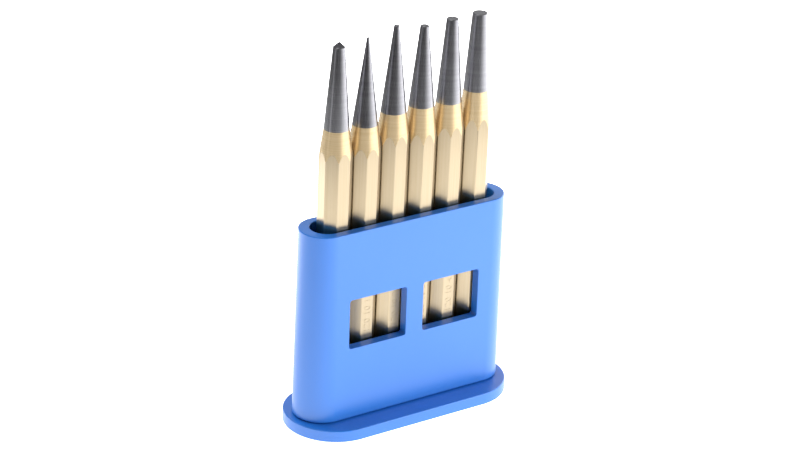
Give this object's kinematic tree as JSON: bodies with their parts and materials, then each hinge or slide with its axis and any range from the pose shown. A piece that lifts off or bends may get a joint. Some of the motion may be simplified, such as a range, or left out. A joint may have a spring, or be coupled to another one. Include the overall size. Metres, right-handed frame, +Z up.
{
  "type": "punch set in stand",
  "caption": "Punch set standing in an upright holder: octagonal drift punches and a centre punch lift out of a flat-sided sleeve with sight windows on a wide obround base.",
  "frame": {"origin": "centre of the base plate's underside, on the surface that the stand rests on", "axes": "+Z up along the punches, +X along the row of punches from the centre punch to the largest drift punch, -Y the side with the sight windows"},
  "size_m": [0.08, 0.033, 0.13],
  "materials": {
    "blue_plastic": "semi-gloss moulded plastic",
    "gold_lacquer": "satin gold lacquer on the octagonal steel and its turned cone; the ground taper and tip are bare steel"
  },
  "bodies": {
    "holder": {"base_plate": "blue_plastic", "sleeve": "blue_plastic"},
    "centre_punch": {"centre_punch": "gold_lacquer"},
    "drift_punch_1mm": {"drift_punch_1mm": "gold_lacquer"},
    "drift_punch_2mm": {"drift_punch_2mm": "gold_lacquer"},
    "drift_punch_3mm": {"drift_punch_3mm": "gold_lacquer"},
    "drift_punch_4mm": {"drift_punch_4mm": "gold_lacquer"},
    "drift_punch_5mm": {"drift_punch_5mm": "gold_lacquer"}
  },
  "joints": [
    {"name": "lift_centre_punch", "type": "slide", "parent": "holder", "child": "centre_punch", "axis": [0, 0, 1], "range_m": [0, 0.065]},
    {"name": "lift_drift_punch_1mm", "type": "slide", "parent": "holder", "child": "drift_punch_1mm", "axis": [0, 0, 1], "range_m": [0, 0.065]},
    {"name": "lift_drift_punch_2mm", "type": "slide", "parent": "holder", "child": "drift_punch_2mm", "axis": [0, 0, 1], "range_m": [0, 0.065]},
    {"name": "lift_drift_punch_3mm", "type": "slide", "parent": "holder", "child": "drift_punch_3mm", "axis": [0, 0, 1], "range_m": [0, 0.065]},
    {"name": "lift_drift_punch_4mm", "type": "slide", "parent": "holder", "child": "drift_punch_4mm", "axis": [0, 0, 1], "range_m": [0, 0.065]},
    {"name": "lift_drift_punch_5mm", "type": "slide", "parent": "holder", "child": "drift_punch_5mm", "axis": [0, 0, 1], "range_m": [0, 0.065]}
  ]
}
